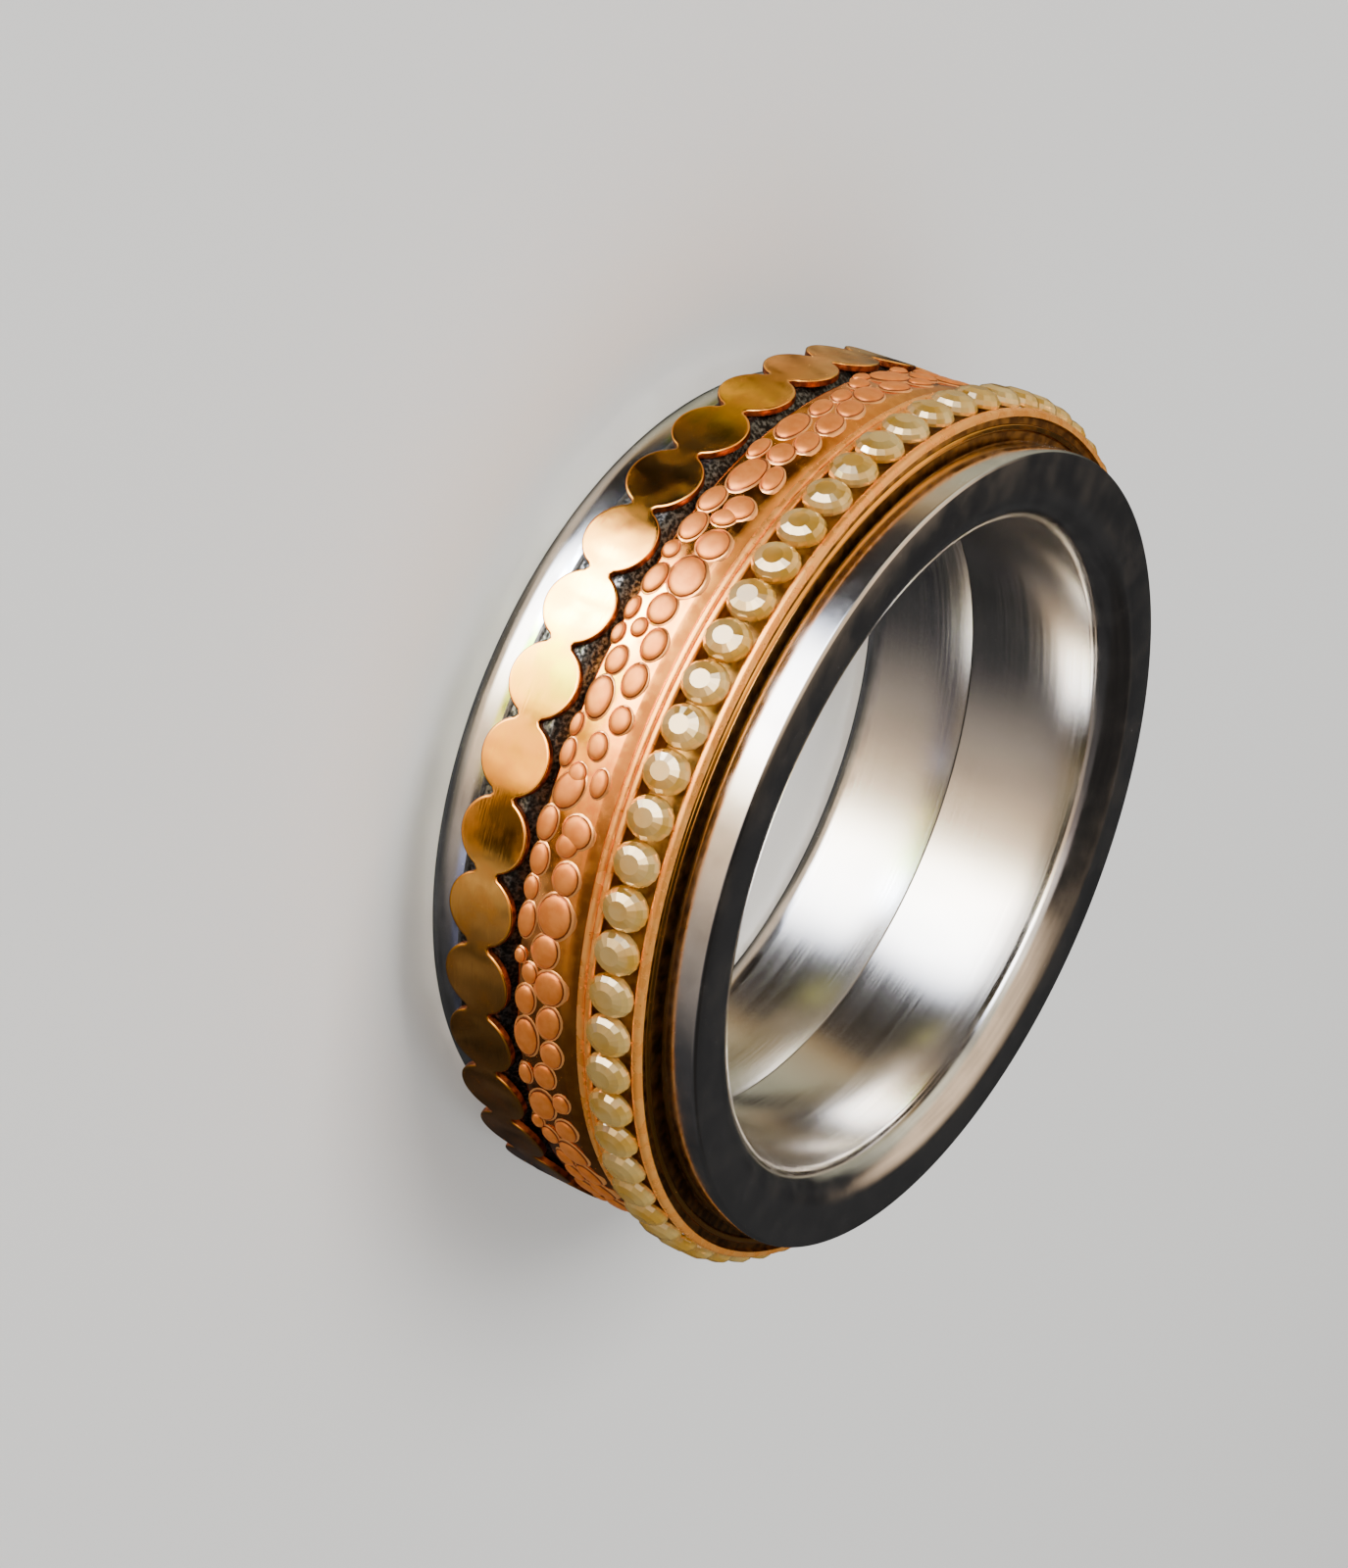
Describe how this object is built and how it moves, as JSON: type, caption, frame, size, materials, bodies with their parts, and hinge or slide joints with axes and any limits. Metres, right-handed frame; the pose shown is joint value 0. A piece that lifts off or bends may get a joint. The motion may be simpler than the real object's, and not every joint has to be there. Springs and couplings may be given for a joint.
{
  "type": "interchangeable ring",
  "caption": "Finger ring whose steel base carries loose outer rings of coins, pebbles and set stones between a fixed flange and a screw-on end cap.",
  "frame": {"origin": "middle of the underside, on the ring's axis, where the ring lies on its fixed flange", "axes": "+Z along the ring's axis, from the fixed flange to the screw-on end cap; +X and +Y across the ring"},
  "size_m": [0.0232, 0.0232, 0.0082],
  "materials": {
    "steel": "polished flanges, satin bore",
    "dark_steel": "oxidised, gritty",
    "rose_gold_chain": "fine brushed and scratched",
    "copper_relief": "polished pebbles on a smooth ground",
    "rose_gold_channel": "polished",
    "champagne_stone": "cut and polished"
  },
  "bodies": {
    "base": {"base_ring": "steel"},
    "cap": {"end_cap": "steel"},
    "coin": {"coin_band": "dark_steel", "coin_chain": "rose_gold_chain"},
    "pebble": {"pebble_ring": "copper_relief"},
    "stone": {"stone_band": "rose_gold_channel", "stones": "champagne_stone"}
  },
  "joints": [
    {"name": "cap_unscrew", "type": "slide", "parent": "base", "child": "cap", "axis": [0, 0, 1], "range_m": [0, 0.004]},
    {"name": "coin_turn", "type": "hinge", "parent": "base", "child": "coin", "pos_m": [0, 0, 0.0025], "axis": [0, 0, 1], "continuous": true},
    {"name": "pebble_turn", "type": "hinge", "parent": "base", "child": "pebble", "pos_m": [0, 0, 0.0044], "axis": [0, 0, 1], "continuous": true},
    {"name": "stone_turn", "type": "hinge", "parent": "base", "child": "stone", "pos_m": [0, 0, 0.0062], "axis": [0, 0, 1], "continuous": true}
  ]
}
